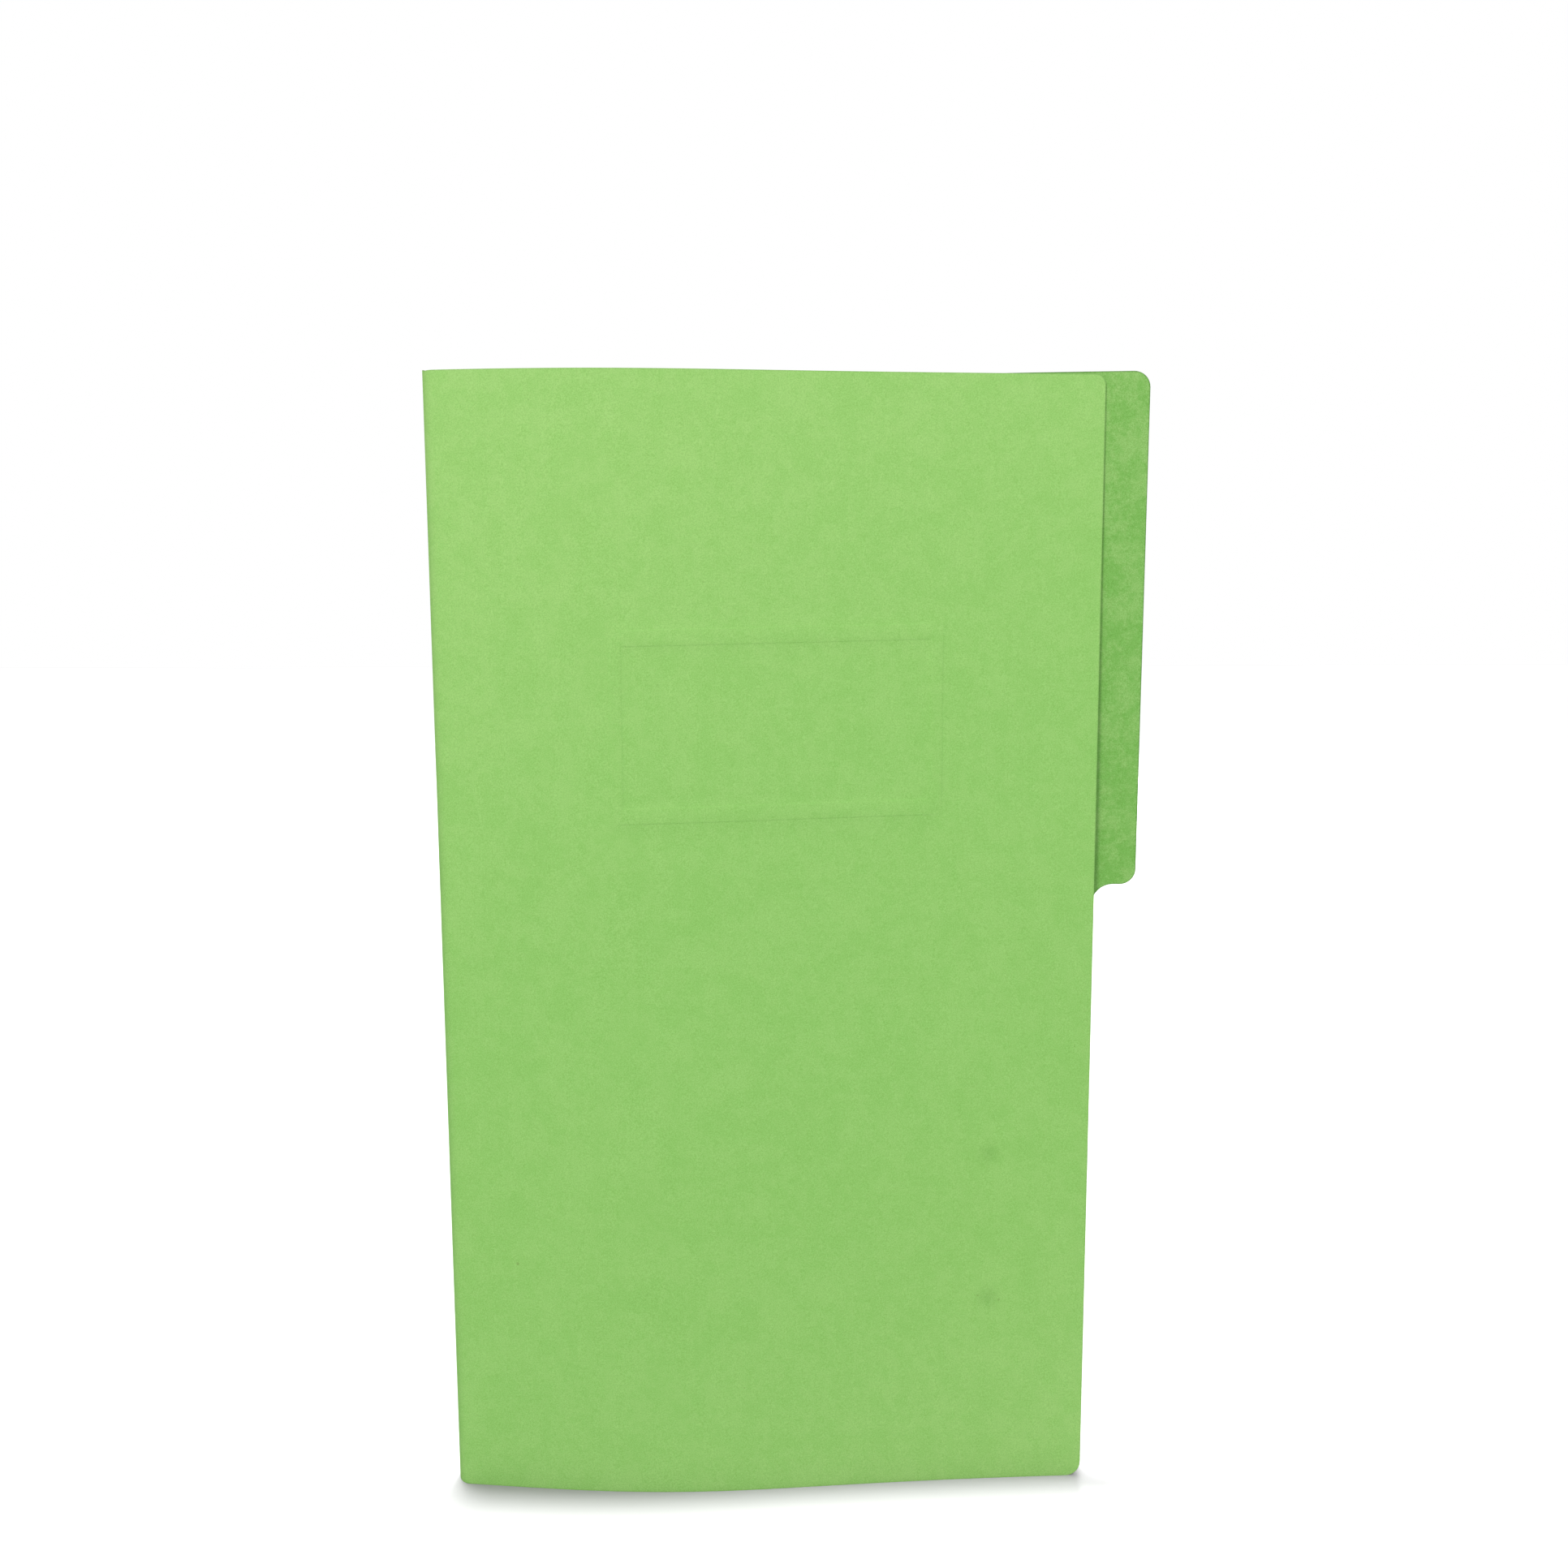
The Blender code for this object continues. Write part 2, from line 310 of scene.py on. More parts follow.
def spin_fold(card, edge_x, flap_bearing, corner, inward):
    """Spin the card's fold-side edge round to the middle of the next strip."""
    leave = Vector((math.cos(flap_bearing), math.sin(flap_bearing), 0.0))
    inner = inward * Vector((-leave.y, leave.x, 0.0))
    axis = corner + leave * STRIP / 2 + inner * FOLD_RADIUS
    pick(card, lambda point: abs(point.x - edge_x) < NEAR)
    bpy.ops.mesh.spin(steps=FOLD_STEPS, angle=inward * FOLD, center=axis, axis=(0.0, 0.0, 1.0))


print("radius of the fold: %.2f mm" % (1000 * FOLD_RADIUS))

# %% [markdown]
# ## Marking the cut edge and giving the card its thickness
#
# Cut card is pressed and a little dirty along its border. A point attribute called rim is 1 on the
# outline and 0 from the border line inwards, so the finish can fade over that strip. It could be
# painted by hand, but the open edges of the sheet already say where the outline is. Solidify then
# gives the sheet its thickness, with one material for the outside, one for the inside and one for
# the cut edge.

# %% Marking the rim
def mark_rim(card, on_seam=lambda point: False):
    """Set the rim attribute on the outline, leaving out a seam where a test for it is given."""
    bpy.ops.object.mode_set(mode="OBJECT")
    card.data.attributes.new("rim", "FLOAT", "POINT")
    card.data.attributes.active = card.data.attributes["rim"]
    bpy.ops.object.mode_set(mode="EDIT")
    bpy.ops.mesh.select_all(action="DESELECT")
    mesh = bmesh.from_edit_mesh(card.data)
    for edge in mesh.edges:
        seam = all(on_seam(point.co) for point in edge.verts)
        if edge.is_boundary and not seam:
            edge.select_set(True)
    bmesh.update_edit_mesh(card.data)
    bpy.ops.mesh.attribute_set(value_float=1.0)


# %% Turning the card's outside out and giving it its thickness
SMOOTH_ANGLE = math.radians(30)
INSIDE_SLOT = 1            # places of the inside and the cut edge in the list of finishes
EDGE_SLOT = 2


def face_outwards(card, outward):
    """Turn all faces so that, taken together, they look in the given direction."""
    bpy.ops.mesh.select_all(action="SELECT")
    bpy.ops.mesh.normals_make_consistent(inside=False)
    bpy.ops.object.mode_set(mode="OBJECT")
    total = Vector((0.0, 0.0, 0.0))
    for face in card.data.polygons:
        total += face.normal * face.area
    if total.dot(outward) < 0:
        bpy.ops.object.mode_set(mode="EDIT")
        bpy.ops.mesh.flip_normals()
        bpy.ops.object.mode_set(mode="OBJECT")


def thicken(card, finishes):
    """Give the sheet its thickness and its three finishes: outside, inside and cut edge."""
    for finish in finishes:
        card.data.materials.append(finish)
    thick = card.modifiers.new("thick", "SOLIDIFY")
    thick.thickness = CARD
    thick.offset = 0.0
    thick.use_even_offset = True
    thick.material_offset = INSIDE_SLOT
    thick.material_offset_rim = EDGE_SLOT
    bpy.ops.object.modifier_apply(modifier=thick.name)
    bpy.ops.object.shade_smooth_by_angle(angle=SMOOTH_ANGLE)
    print(card.name + ":", len(card.data.polygons), "faces")


# %% [markdown]
# ## Card: what the finishes share
#
# Uncoated green card is never one flat colour. The pulp takes the dye unevenly, in soft clouds of
# all sizes, a fine grain lies over them, and single fibres and flecks show close up. On top of this
# the colour is painted paler and lighter towards the top, and a little towards the foot: a painted
# highlight for the light that falls most strongly on the upper part. A scan of real card could show
# all this, but only at one size. Here these effects are one node group, so that every side of the
# card is cut from the same stock. All patterns read Object coordinates in metres.

# %% Node helpers: nodes, noise and ranges
def feed(tree, socket, value):
    """Set a socket to a plain value, or link it to another socket."""
    if isinstance(value, bpy.types.NodeSocket):
        tree.links.new(value, socket)
    else:
        socket.default_value = value


def add_node(tree, kind, inputs=None, **settings):
    """A node with its settings, and a value or a link for each of the named inputs."""
    node = tree.nodes.new(kind)
    for name, value in settings.items():
        setattr(node, name, value)
    for name, value in (inputs or {}).items():
        feed(tree, node.inputs[name], value)
    return node


def noise(tree, place, scale, detail, rough=0.55):
    """Soft noise from 0 to 1: cells per metre, number of finer layers, and how strong each is."""
    inputs = {"Vector": place, "Scale": scale, "Detail": detail, "Roughness": rough}
    return add_node(tree, "ShaderNodeTexNoise", inputs).outputs["Fac"]


def stretch(tree, source, span, ends=(0.0, 1.0)):
    """Map a span of values to two ends, with a smooth run between them."""
    inputs = {"From Min": span[0], "From Max": span[1], "To Min": ends[0], "To Max": ends[1]}
    inputs["Value"] = source
    node = add_node(tree, "ShaderNodeMapRange", inputs, interpolation_type="SMOOTHSTEP")
    return node.outputs["Result"]


def sums(tree, operation, first, second=0.0):
    """One sum on two values; each is a socket or a number."""
    return add_node(tree, "ShaderNodeMath", {0: first, 1: second}, operation=operation).outputs["Value"]


# %% Node helpers: colours and groups
MIX_FACTOR = 0             # a Mix node has sockets of the same names for numbers, vectors and colours,
MIX_COLOUR = 6             # so those for colours are picked by their places
MIX_OTHER = 7
MIX_RESULT = 2


def tint(tree, factor, colour, other, mode="MIX"):
    """Mix a colour with another by a mask; each of the three is a socket or a plain value."""
    inputs = {MIX_FACTOR: factor, MIX_COLOUR: colour, MIX_OTHER: other}
    node = add_node(tree, "ShaderNodeMix", inputs, data_type="RGBA", blend_type=mode)
    return node.outputs[MIX_RESULT]


def times(tree, colour, factors):
    """A colour made lighter or darker, channel by channel."""
    return tint(tree, 1.0, colour, factors, "MULTIPLY")


def two_tone(tree, mask, colour, deep, pale):
    """A colour that runs from a deeper to a paler tone of itself by a mask."""
    return tint(tree, mask, times(tree, colour, deep), times(tree, colour, pale))


def new_group(name, takes, gives):
    """An empty node group with named sockets."""
    group = bpy.data.node_groups.new(name, "ShaderNodeTree")
    for title, kind in takes:
        group.interface.new_socket(title, in_out="INPUT", socket_type="NodeSocket" + kind)
    for title, kind in gives:
        group.interface.new_socket(title, in_out="OUTPUT", socket_type="NodeSocket" + kind)
    return group, group.nodes.new("NodeGroupInput").outputs, group.nodes.new("NodeGroupOutput").inputs


# %% The card group: painted highlight towards the top
UNPAINTED_HEIGHT = 0.15        # the colour is plain at this height, and painted lighter away from it
PAINTED_LIGHT_DIRECTION = (-0.45, 0.0, 1.0)  # the painted highlight runs up, and leans to the fold
PAINTED_LIGHT_SPAN = (0.05, 0.28)   # distances at which it begins and is complete
PAINTED_LIGHT_FACTORS = (1.155, 1.063, 1.16, 1.0)  # painted highlight: this much lighter in red, green and blue

stock_and_painted_light, took, gave = new_group(
    "stock_and_painted_light",
    [("Place", "Vector"), ("Colour", "Color"), ("Cloudiness", "Float"), ("Grain", "Float")],
    [("Colour", "Color"), ("Height", "Float")],
)
# Painted highlight: the colour is made paler and lighter towards the top, and a little towards the foot, as
# if lit more strongly there.
leaning = add_node(stock_and_painted_light, "ShaderNodeVectorMath", {0: took["Place"], 1: PAINTED_LIGHT_DIRECTION}, operation="DOT_PRODUCT")
away = sums(stock_and_painted_light, "ABSOLUTE", sums(stock_and_painted_light, "SUBTRACT", leaning.outputs["Value"], UNPAINTED_HEIGHT))
painted_paler_tone = times(stock_and_painted_light, took["Colour"], PAINTED_LIGHT_FACTORS)
painted_light_tone = tint(stock_and_painted_light, stretch(stock_and_painted_light, away, PAINTED_LIGHT_SPAN), took["Colour"], painted_paler_tone)
print("group %s: dye" % stock_and_painted_light.name)

# %% The card group: clouds and grain
CLOUDS = {"scale": 80.0, "detail": 4.0, "rough": 1.0}  # 12 mm across and less, all just as strong
CLOUD_SPAN = (0.37, 0.63)  # noise that turns from the deep to the pale tone
DEEP_CLOUD = (0.74, 0.9, 0.68, 1.0)
PALE_CLOUD = (1.26, 1.1, 1.32, 1.0)
GRAIN = {"scale": 3000.0, "detail": 1.0}  # about a third of a millimetre
GRAIN_SPAN = (0.25, 0.75)
DEEP_GRAIN = (0.76, 0.83, 0.66, 1.0)
PALE_GRAIN = (1.24, 1.17, 1.34, 1.0)

cloud = noise(stock_and_painted_light, took["Place"], **CLOUDS)
clouded = two_tone(stock_and_painted_light, stretch(stock_and_painted_light, cloud, CLOUD_SPAN), painted_light_tone, DEEP_CLOUD, PALE_CLOUD)
mottled = tint(stock_and_painted_light, took["Cloudiness"], painted_light_tone, clouded)
grain = noise(stock_and_painted_light, took["Place"], **GRAIN)
bitty = two_tone(stock_and_painted_light, stretch(stock_and_painted_light, grain, GRAIN_SPAN), mottled, DEEP_GRAIN, PALE_GRAIN)
grained = tint(stock_and_painted_light, took["Grain"], mottled, bitty)
stock_and_painted_light.links.new(sums(stock_and_painted_light, "ADD", grain, cloud), gave["Height"])
print("group %s: dye, clouds and grain" % stock_and_painted_light.name)

# %% The card group: fibres and flecks
FIBRES = {"scale": 2600.0, "detail": 0.0}  # less than half a millimetre wide
FIBRE_LENGTH = 8.0         # and this many times as long
FIBRE_TURNS = (0.6, -0.9)  # radians: the two ways that most fibres lie
FIBRE_SPAN = (0.83, 0.9)   # only the peaks of the noise are fibres
FIBRE_DARK = (0.6, 0.7, 0.55, 1.0)
FIBRE_STRENGTH = 0.3
FLECKS = 260.0             # cells per metre, each with one chance of a fleck
FLECK_CHANCE = 0.05
FLECK_SPAN = (0.04, 0.08)  # a fleck's full and outermost reach, in cells
FLECK_COLOUR = (0.14, 0.22, 0.06, 1.0)
FLECK_STRENGTH = 0.25


def fibres(tree, place, turn):
    """Thin short strokes that lie in one direction."""
    inputs = {"Vector": place, "Rotation": (0.0, turn, 0.0), "Scale": (1.0, 1.0, FIBRE_LENGTH)}
    laid = add_node(tree, "ShaderNodeMapping", inputs, vector_type="TEXTURE").outputs["Vector"]
    return stretch(tree, noise(tree, laid, **FIBRES), FIBRE_SPAN)


strokes = sums(stock_and_painted_light, "MAXIMUM", *[fibres(stock_and_painted_light, took["Place"], turn) for turn in FIBRE_TURNS])
strokes = sums(stock_and_painted_light, "MULTIPLY", strokes, FIBRE_STRENGTH)
fibred = tint(stock_and_painted_light, strokes, grained, times(stock_and_painted_light, grained, FIBRE_DARK))
cells = add_node(stock_and_painted_light, "ShaderNodeTexVoronoi", {"Vector": took["Place"], "Scale": FLECKS}).outputs
chance = add_node(stock_and_painted_light, "ShaderNodeSeparateColor", {"Color": cells["Color"]}).outputs["Red"]
chosen = sums(stock_and_painted_light, "GREATER_THAN", chance, 1 - FLECK_CHANCE)
fleck = sums(stock_and_painted_light, "MULTIPLY", stretch(stock_and_painted_light, cells["Distance"], FLECK_SPAN, (1.0, 0.0)), chosen)
flecked = tint(stock_and_painted_light, sums(stock_and_painted_light, "MULTIPLY", fleck, FLECK_STRENGTH), fibred, FLECK_COLOUR)
stock_and_painted_light.links.new(flecked, gave["Colour"])
print("group %s: %d nodes" % (stock_and_painted_light.name, len(stock_and_painted_light.nodes)))

# %% The rim group: a pressed, darker border with worn, paler spots
RAGGED = {"scale": 800.0, "detail": 2.0}  # noise that makes the border ragged
RAGGED_STRENGTH = 0.3
PRESSED_SPAN = (0.35, 1.1)  # from the ragged border's inner line to its outline
RIM_DARK = (0.48, 0.52, 0.52, 1.0)
RUBS = {"scale": 130.0, "detail": 4.0}  # noise that places the worn spots
RUB_SPAN = (0.56, 0.68)    # only its high parts are worn
WORN_SPAN = (0.8, 1.2)     # worn only close to the outline
RIM_WORN = (1.25, 1.14, 1.4, 1.0)

rim_wear, took, gave = new_group(
    "rim_wear", [("Place", "Vector"), ("Colour", "Color"), ("Amount", "Float")], [("Colour", "Color")]
)
rim = add_node(rim_wear, "ShaderNodeAttribute", attribute_name="rim").outputs["Fac"]
rough_line = sums(rim_wear, "MULTIPLY", noise(rim_wear, took["Place"], **RAGGED), RAGGED_STRENGTH)
ragged = sums(rim_wear, "ADD", rim, rough_line)
pressed_rim = sums(rim_wear, "MULTIPLY", stretch(rim_wear, ragged, PRESSED_SPAN), took["Amount"])
lined = tint(rim_wear, pressed_rim, took["Colour"], times(rim_wear, took["Colour"], RIM_DARK))
rubbed = stretch(rim_wear, noise(rim_wear, took["Place"], **RUBS), RUB_SPAN)
worn = sums(rim_wear, "MULTIPLY", stretch(rim_wear, ragged, WORN_SPAN), rubbed)
worn = sums(rim_wear, "MULTIPLY", worn, took["Amount"])
bordered = tint(rim_wear, worn, lined, times(rim_wear, took["Colour"], RIM_WORN))
rim_wear.links.new(bordered, gave["Colour"])
print("group %s: %d nodes" % (rim_wear.name, len(rim_wear.nodes)))

# %% The smudge group: one soft or small mark at a place
UNEVEN = {"scale": 700.0, "detail": 2.0}  # noise that makes the outline uneven
UNEVEN_LIFT = 0.5          # lifts the noise to 1 on average

smudge, took, gave = new_group(
    "smudge",
    [("Place", "Vector"), ("Spot", "Vector"), ("Radius", "Float"), ("Colour", "Color"), ("Stain", "Color")],
    [("Colour", "Color")],
)
ends = {0: took["Place"], 1: took["Spot"]}
gap = add_node(smudge, "ShaderNodeVectorMath", ends, operation="DISTANCE").outputs["Value"]
uneven = sums(smudge, "ADD", noise(smudge, took["Place"], **UNEVEN), UNEVEN_LIFT)
reach = sums(smudge, "DIVIDE", sums(smudge, "MULTIPLY", gap, uneven), took["Radius"])
soft_spot = stretch(smudge, reach, (0.0, 1.0), (1.0, 0.0))
stained = times(smudge, took["Colour"], took["Stain"])
smudge.links.new(tint(smudge, soft_spot, took["Colour"], stained), gave["Colour"])
print("group %s: %d nodes" % (smudge.name, len(smudge.nodes)))

# %% [markdown]
# ## Three finishes for one sheet
#
# The outside of the card is a light green, the inside a touch darker and cloudier, and the cut edge
# shows the pressed layers, greyer and rougher. Each could have its own set of nodes, but then they
# would drift apart, so each is a matt Principled shader with the shared groups in front of it, at
# its own strength. Gloss stays low, because uncoated card scatters almost all of its light. The
# front also has a few marks from handling: soft smudges and small specks.

# %% Marks on the front
SMUDGE = (0.83, 0.87, 0.82, 1.0)
FAINT_SMUDGE = (0.88, 0.9, 0.87, 1.0)
SPECK = (0.72, 0.66, 0.6, 1.0)
MARKS = (                  # across, height, radius and stain
    (0.0676, 0.1179, 0.0055, FAINT_SMUDGE),
    (0.0679, 0.0664, 0.0060, SMUDGE),
    (0.0645, 0.0672, 0.0007, SPECK),
    (0.0718, 0.0655, 0.0007, SPECK),
    (-0.0919, 0.0813, 0.0008, SPECK),
    (-0.0419, 0.2762, 0.0010, FAINT_SMUDGE),
)


def on_front(across, height):
    """The place on the front flap at a distance across and a height."""
    place = score["score_4"] + Vector((0.0, 0.0, height))
    walked = WALK_STEP / 2
    while place.x < across:
        place += step_move(FRONT_BOW, FRONT_BEARING, LEFT, walked, height)
        walked += WALK_STEP
    return Vector((across, place.y, height))


print("marks on the front:", len(MARKS))

# %% Building a card finish
RELIEF = 0.00005           # depth of the grain
ROUGHNESS = 0.88
GLOSS = 0.25


def card_finish(name, colour, cloudiness, grain_amount, rim_amount, bump, marks=()):
    """A card finish from the shared groups."""
    finish = bpy.data.materials.new(name)
    finish.use_nodes = True
    tree = finish.node_tree
    shader = tree.nodes["Principled BSDF"]
    place = add_node(tree, "ShaderNodeTexCoord").outputs["Object"]
    inputs = {"Place": place, "Colour": (*colour, 1.0), "Cloudiness": cloudiness, "Grain": grain_amount}
    stock = add_node(tree, "ShaderNodeGroup", inputs, node_tree=stock_and_painted_light).outputs
    inputs = {"Place": place, "Colour": stock["Colour"], "Amount": rim_amount}
    shown = add_node(tree, "ShaderNodeGroup", inputs, node_tree=rim_wear).outputs["Colour"]
    for across, height, radius, stain in marks:
        inputs = {"Place": place, "Colour": shown, "Radius": radius, "Stain": stain}
        inputs["Spot"] = on_front(across, height)
        shown = add_node(tree, "ShaderNodeGroup", inputs, node_tree=smudge).outputs["Colour"]
    inputs = {"Height": stock["Height"], "Strength": bump, "Distance": RELIEF}
    relief = add_node(tree, "ShaderNodeBump", inputs).outputs["Normal"]
    tree.links.new(shown, shader.inputs["Base Color"])
    tree.links.new(relief, shader.inputs["Normal"])
    shader.inputs["Roughness"].default_value = ROUGHNESS
    shader.inputs["Specular IOR Level"].default_value = GLOSS
    return finish


# %% The three finishes
FINISHES = (
    card_finish(
        "card_outside", (0.284, 0.573, 0.144),
        cloudiness=0.21, grain_amount=0.45, rim_amount=0.3, bump=0.25, marks=MARKS,
    ),
    card_finish(
        "card_inside", (0.214, 0.474, 0.107),
        cloudiness=0.6, grain_amount=0.7, rim_amount=0.9, bump=0.35,
    ),
    card_finish(
        "card_cut_edge", (0.19, 0.38, 0.115),
        cloudiness=0.8, grain_amount=1.0, rim_amount=0.0, bump=0.5,
    ),
)
print("finishes:", ", ".join(finish.name for finish in FINISHES))

# %% [markdown]
# ## The back cover
#
# The back half of the sheet carries the tab. It could be joined on as a second sheet, but a real
# tab is cut from the same card without a seam. So the tab is extruded from the upper part of the
# free edge, and the whole outline is dissolved to one face before its corners are rounded. That way
# the corner at the foot of the tab becomes a smooth hollow curve.

# %% Back cover: outline
TAB_LENGTH = 0.1663        # from the top down
TAB_RADIUS = 0.0052        # outer corners of the tab
TAB_FILLET = 0.007         # hollow corner at the foot of the tab
CORNER_RADIUS = 0.005      # lower free corners
FOLD_SPARE = 0.004         # extra card at the fold side, cut off after the inset
FLAT_ANGLE = math.radians(1)  # faces that differ by less than this become one

back_left = score["score_1"].x + math.cos(BACK_BEARING) * STRIP / 2
tab_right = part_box("back_flap")[1].x
back_right = tab_right - TAB_REACH
tab_low = BACK_TOP - TAB_LENGTH

back_cover = blank("back_cover", back_left - FOLD_SPARE, back_right, BACK_TOP)
rule_row(tab_low)
pick(back_cover, lambda point: point.x > back_right - NEAR and point.z > tab_low - NEAR)
bpy.ops.mesh.extrude_region_move(TRANSFORM_OT_translate={"value": (TAB_REACH, 0.0, 0.0)})
bpy.ops.mesh.select_all(action="SELECT")
bpy.ops.mesh.dissolve_limited(angle_limit=FLAT_ANGLE)
round_corner(back_cover, (back_right, 0.0), CORNER_RADIUS)
round_corner(back_cover, (back_right, tab_low), TAB_FILLET)
round_corner(back_cover, (tab_right, tab_low), TAB_RADIUS)
round_corner(back_cover, (tab_right, BACK_TOP), TAB_RADIUS)
border_line(back_left)
print("back cover: %.1f mm wide with its tab" % (1000 * (tab_right - back_left)))

# %% Back cover: ruled, bent and thickened
ROW = 0.0075               # height of a ruled row

for across in ruled_places(back_left, back_right, COLUMN):
    rule_column(across)
for across in (tab_right - COLUMN, (back_right + tab_right) / 2):
    rule_column(across)
for height in ruled_places(0.0, BACK_TOP, ROW):
    rule_row(height)
wrap(back_cover, back_former)
spin_fold(back_cover, back_left, BACK_BEARING, score["score_1"], RIGHT)
back_seam = min(point.co.x for point in bmesh.from_edit_mesh(back_cover.data).verts)
mark_rim(back_cover, lambda point: point.x < back_seam + NEAR)
face_outwards(back_cover, Vector((0.0, 1.0, 0.0)))
thicken(back_cover, FINISHES)

# %% [markdown]
# ## The front cover
#
# The front half is a plain rectangle with two round corners, but it carries the label frame: a
# raised band, pressed through the card, that shows where a label goes. The press came down a little
# crooked, so the long sides of the frame tilt. The band could be modelled with insets, but a
# Displace modifier with painted weights gives the soft shoulders and the round corners of pressed
# card.

# %% Front cover: outline
FRONT_TOP_RADIUS = 0.0035  # upper free corner

front_left = score["score_4"].x + math.cos(FRONT_BEARING) * STRIP / 2
front_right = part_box("front_flap")[1].x

front_cover = blank("front_cover", front_left - FOLD_SPARE, front_right, FRONT_TOP)
round_corner(front_cover, (front_right, 0.0), CORNER_RADIUS)
round_corner(front_cover, (front_right, FRONT_TOP), FRONT_TOP_RADIUS)
border_line(front_left)
print("front cover: %.1f mm wide" % (1000 * (front_right - front_left)))

# %% Front cover: lines for the label frame
FRAME_WIDTH = 0.1081       # outside, as seen from the front
FRAME_HEIGHT = 0.0627
FRAME_BAND = 0.0056        # raised band at the top and bottom, foot to foot
FRAME_SIDE_BAND = 0.0046   # the same at its two sides
FRAME_SHOULDER = 0.00055   # slope at each side of the band
SHOULDER_LINES = 4         # steps of that slope
FRAME_ACROSS = -0.00375    # middle of the frame, across the folder
FRAME_DOWN = 0.111         # and down from the top
FRAME_TILT = math.radians(1.3)

frame_middle = Vector((FRAME_ACROSS, 0.0, FRONT_TOP - FRAME_DOWN))
frame_up = Vector((-math.sin(FRAME_TILT), 0.0, math.cos(FRAME_TILT)))
frame_across = Vector((1.0, 0.0, 0.0))
shoulder = [FRAME_SHOULDER * step / SHOULDER_LINES for step in range(SHOULDER_LINES + 1)]
frame_sides = (
    (frame_across, FRAME_WIDTH / 2, FRAME_SIDE_BAND),
    (frame_up, FRAME_HEIGHT / 2, FRAME_BAND),
)
for direction, half, band in frame_sides:
    for inset in shoulder + [band - step for step in shoulder]:
        for side in (-1, 1):
            rule(frame_middle + side * direction * (half - inset), direction)
print("label frame: %.0f x %.0f mm" % (1000 * FRAME_WIDTH, 1000 * FRAME_HEIGHT))

# %% Front cover: ruled and bent
def band_places(middle, half, margin):
    """Where the two bands of the label frame lie across one direction, with a margin."""
    near = (middle - half - margin, middle - half + FRAME_BAND + margin)
    far = (middle + half - FRAME_BAND - margin, middle + half + margin)
    return [near, far]


tilt_margin = FRAME_WIDTH / 2 * math.tan(FRAME_TILT) + FRAME_SHOULDER
upright_bands = band_places(frame_middle.x, FRAME_WIDTH / 2, FRAME_SHOULDER)
level_bands = band_places(frame_middle.z, FRAME_HEIGHT / 2, tilt_margin)
for across in ruled_places(front_left, front_right, COLUMN, upright_bands):
    rule_column(across)
for height in ruled_places(0.0, FRONT_TOP, ROW, level_bands):
    rule_row(height)
wrap(front_cover, front_former)
spin_fold(front_cover, front_left, FRONT_BEARING, score["score_4"], LEFT)
front_seam = min(point.co.x for point in bmesh.from_edit_mesh(front_cover.data).verts)
mark_rim(front_cover, lambda point: point.x < front_seam + NEAR)
face_outwards(front_cover, Vector((0.0, -1.0, 0.0)))
print("front cover: bent, %d faces before pressing" % len(front_cover.data.polygons))

# %% Front cover: pressing the label frame
FRAME_RISE = 0.00018       # height of the band above the card
FRAME_CORNER = 0.002       # radius of its outer corners


def raised(point):
    """How far a point of the front is raised by the press, from 0 to 1."""
    offset = point - frame_middle
    across = FRAME_WIDTH / 2 - abs(offset.x)
    along = FRAME_HEIGHT / 2 - abs(offset.dot(frame_up))
    corner = FRAME_CORNER - math.hypot(max(FRAME_CORNER - across, 0.0), max(FRAME_CORNER - along, 0.0))
    outer = soft_step(min(across, along, corner) / FRAME_SHOULDER)
    inner = soft_step(min(across - FRAME_SIDE_BAND, along - FRAME_BAND) / FRAME_SHOULDER + 1)
    return outer - inner


pressed = front_cover.vertex_groups.new(name="pressed")
for point in front_cover.data.vertices:
    weight = raised(Vector((point.co.x, 0.0, point.co.z)))
    if weight > 0:
        pressed.add([point.index], weight, "REPLACE")
press = front_cover.modifiers.new("press", "DISPLACE")
press.direction = "NORMAL"
press.mid_level = 0.0
press.strength = FRAME_RISE
press.vertex_group = pressed.name
bpy.ops.object.modifier_apply(modifier=press.name)
thicken(front_cover, FINISHES)

# %% [markdown]
# ## The fold between the covers
#
# The spine is a soft round fold. It could be one piece, but a piece can bend across one score only,
# so it is two, with a seam on the middle strip. Each starts there as an edge and is spun round one
# score to the middle of the next strip, where it meets a cover. Both are marked as rim all round,
# so their seams show, if only as very faint lines. The back cover is cut a little taller than the
# front, so the front piece of the fold is cut off along a slope that joins the two heights.

# %% Tools for the fold
def fold_piece(name, start_corner, corner, turn):
    """A standing strip of card, spun round one score from the middle of the strip before it."""
    bpy.ops.object.select_all(action="DESELECT")
    start = (start_corner + corner) / 2
    ahead = (corner - start_corner).normalized()
    inner = turn * Vector((-ahead.y, ahead.x, 0.0))
    axis = start + inner * FOLD_RADIUS
    one_point(start)
    bpy.ops.mesh.extrude_region_move(TRANSFORM_OT_translate={"value": (0.0, 0.0, BACK_TOP)})
    piece = bpy.context.active_object
    piece.name = name
    bpy.ops.mesh.select_all(action="SELECT")
    bpy.ops.mesh.spin(steps=FOLD_STEPS, angle=turn * FOLD, center=axis, axis=(0.0, 0.0, -1.0))
    return piece


def finish_fold(piece):
    """Rule the strip, mark its rim all round and give it its thickness."""
    for height in [BORDER] + ruled_places(0.0, FRONT_TOP, ROW):
        rule_row(height)
    mark_rim(piece)
    face_outwards(piece, Vector((-1.0, 0.0, 0.0)))
    thicken(piece, FINISHES)


# %% Fold pieces
middle_of = {}
for number in (1, 2, 3):
    middle_of[number] = (score["score_%d" % number] + score["score_%d" % (number + 1)]) / 2

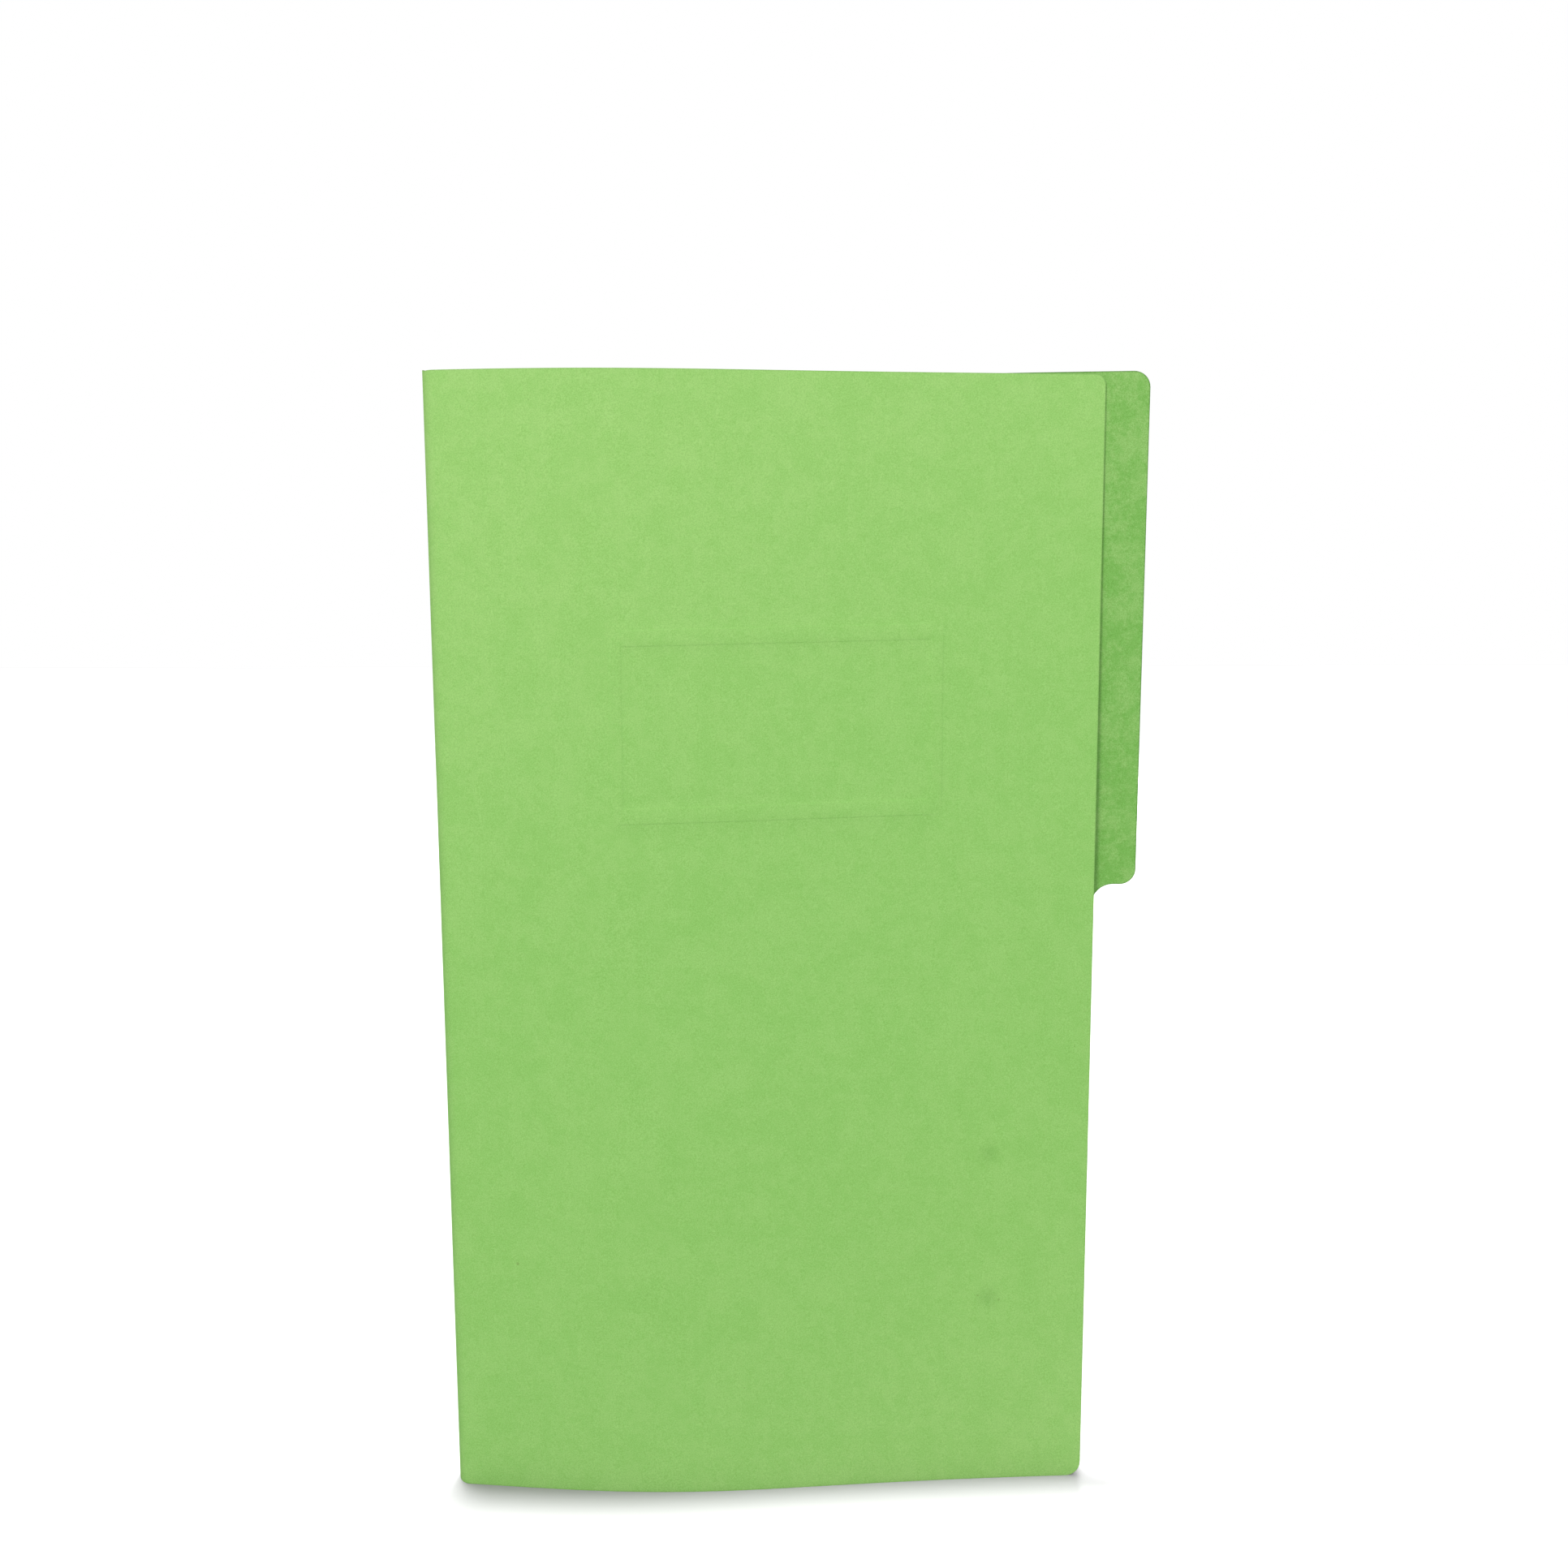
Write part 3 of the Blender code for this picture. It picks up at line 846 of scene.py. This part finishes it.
fold_front = fold_piece("fold_front", score["score_2"], score["score_3"], LEFT)
run = middle_of[2] - middle_of[3]
slope = run * ((BACK_TOP - FRONT_TOP) / run.length_squared)
above_slope = Vector((-slope.x, -slope.y, 1.0))
rule(middle_of[3] + Vector((0.0, 0.0, FRONT_TOP)), above_slope, clear_outer=True)
rule(middle_of[3] + Vector((0.0, 0.0, FRONT_TOP - BORDER)), above_slope)
finish_fold(fold_front)

fold_back = fold_piece("fold_back", score["score_3"], score["score_2"], RIGHT)
rule_row(BACK_TOP - BORDER)
finish_fold(fold_back)

# %% [markdown]
# ## How the pieces move
#
# Each piece reaches from the middle of one strip or flap to the next, across one score, so it bends
# with that joint: it follows the body on one side before the score, the body on the other side
# after it, and turns smoothly in between. Rigid pieces would be simpler, but they would open a gap
# at every score. The seams lie in the middle of the strips, where nothing bends.

# %% Riding on the frame
def bend_with(piece, strip_body, far_body, start, end, *nodes):
    """Let a piece bend between two bodies and stand for their solids."""
    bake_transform(piece, strip_body, far_body, start=start, end=end)
    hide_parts(*nodes)


def past_score(name, flap_bearing):
    """Where the round of the fold ends on a flap."""
    return score[name] + Vector((math.cos(flap_bearing), math.sin(flap_bearing), 0.0)) * STRIP / 2


front_end = past_score("score_4", FRONT_BEARING)
back_end = past_score("score_1", BACK_BEARING)
bend_with(front_cover, "spine_strip_3", "front_flap", middle_of[3], front_end, "front_flap")
bend_with(back_cover, "spine_strip_1", "back_flap", middle_of[1], back_end, "back_flap")
bend_with(fold_front, "spine_strip_2", "spine_strip_3", middle_of[2], middle_of[3], "spine_strip_3")
bend_with(
    fold_back, "spine_strip_2", "spine_strip_1", middle_of[2], middle_of[1],
    "spine_strip_2", "spine_strip_1",
)

# %% [markdown]
# ## Camera
#
# The photograph was taken from close by with a wide lens, a little below the folder's top and
# looking slightly down. The numbers could be guessed and corrected by eye. They were found by
# fitting the outline of the folder instead, and the fit needed no shift of the lens.

# %% Camera
LENS = 28.0                # mm
SENSOR_WIDTH = 36.0        # mm
EYE = (-0.00149, -0.39881, 0.28919)
LOOK_DOWN = 6.527          # degrees below the horizon
ROLL = 0.121               # degrees
NEAREST = 0.01             # nothing closer than this is seen

camera_data = bpy.data.cameras.new("camera")
camera_data.lens = LENS
camera_data.sensor_width = SENSOR_WIDTH
camera_data.clip_start = NEAREST
camera = bpy.data.objects.new("camera", camera_data)
bpy.context.scene.collection.objects.link(camera)
camera.location = EYE
camera.rotation_euler = (math.radians(90 - LOOK_DOWN), math.radians(ROLL), 0.0)
bpy.context.scene.camera = camera
print("camera at", EYE)

# %% [markdown]
# ## Floor and light
#
# The folder stands on a plain white floor in front of white. A white world alone could light all
# this, but it would leave no shadow and no relief. The floor takes light and shadow as any matt
# surface does, but it is darker to the light that it throws back, so that the pressed frame keeps
# its relief. Two wide lamps in front, high on the left and the right, light the folder, the left
# one more strongly. A third one does the same for the back, and the world fills the rest. The
# narrow shadow round the foot comes from a lamp almost straight above, a touch behind and to the
# left. It lights only the floor, because light that grazes the card would show every bump.

# %% Floor
FLOOR_SIZE = 30.0
FLOOR_SEEN = (0.3, 0.3, 0.3, 1.0)
FLOOR_BOUNCE = (0.115, 0.115, 0.115, 1.0)


def looked_at(tree):
    """1 for the camera and for what mirrors or glass would show it, 0 for all other light."""
    path = add_node(tree, "ShaderNodeLightPath").outputs
    mirrored = sums(tree, "MAXIMUM", path["Is Glossy Ray"], path["Is Transmission Ray"])
    return sums(tree, "MAXIMUM", path["Is Camera Ray"], mirrored)


bpy.ops.object.select_all(action="DESELECT")
bpy.ops.mesh.primitive_plane_add(size=FLOOR_SIZE, location=(0.0, 0.0, 0.0))
floor = bpy.context.active_object
floor.name = "floor"
floor_paint = bpy.data.materials.new("white_floor")
floor_paint.use_nodes = True
floor_tree = floor_paint.node_tree
floor_shader = floor_tree.nodes["Principled BSDF"]
floor_shader.inputs["Roughness"].default_value = 1.0
floor_shader.inputs["Specular IOR Level"].default_value = 0.0
floor_white = tint(floor_tree, looked_at(floor_tree), FLOOR_BOUNCE, FLOOR_SEEN)
floor_tree.links.new(floor_white, floor_shader.inputs["Base Color"])
floor.data.materials.append(floor_paint)
print("floor: %.0f m wide" % FLOOR_SIZE)

# %% World
WORLD_FILL = 0.3           # light from all sides

world = bpy.data.worlds.new("studio")
world.use_nodes = True
bpy.context.scene.world = world
background = world.node_tree.nodes["Background"]
background.inputs["Color"].default_value = (1.0, 1.0, 1.0, 1.0)
strength = sums(world.node_tree, "MAXIMUM", looked_at(world.node_tree), WORLD_FILL)
world.node_tree.links.new(strength, background.inputs["Strength"])
print("world fill:", WORLD_FILL)

# %% Wide lamps
WIDE_LAMPS = (             # name, place and energy
    ("left", (-1.35, -2.1, 1.5), 35.5),
    ("right", (1.2, -2.2, 1.5), 27.5),
    ("behind", (0.5, 2.4, 1.5), 50.0),
)
WIDE_LAMP_SIZE = 0.8
WIDE_LAMP_AIM = (0.0, 0.0, 0.2)


def lamp(name, kind, place, target, energy):
    """A lamp that points at a place."""
    data = bpy.data.lights.new(name, kind)
    data.energy = energy
    item = bpy.data.objects.new(name, data)
    bpy.context.scene.collection.objects.link(item)
    item.location = place
    item.rotation_euler = (Vector(target) - Vector(place)).to_track_quat("-Z", "Y").to_euler()
    return item


for name, place, energy in WIDE_LAMPS:
    wide = lamp(name, "AREA", place, WIDE_LAMP_AIM, energy)
    wide.data.shape = "DISK"
    wide.data.size = WIDE_LAMP_SIZE
print("wide lamps:", len(WIDE_LAMPS))

# %% The lamp above
TOP_LAMP_PLACE = (-0.01, 0.046, 2.0)
TOP_LAMP_AIM = (0.0, 0.0, 0.0)
TOP_LAMP_ENERGY = 10.0
TOP_LAMP_ANGLE = math.radians(3.0)  # as wide as the lamp looks from the floor

top = lamp("top", "SUN", TOP_LAMP_PLACE, TOP_LAMP_AIM, TOP_LAMP_ENERGY)
top.data.angle = TOP_LAMP_ANGLE
lit_by_top = bpy.data.collections.new("lit_by_top")
lit_by_top.objects.link(floor)
top.light_linking.receiver_collection = lit_by_top
bpy.context.scene.view_settings.view_transform = "Standard"
print("lamps:", ", ".join(light.name for light in bpy.data.lights))
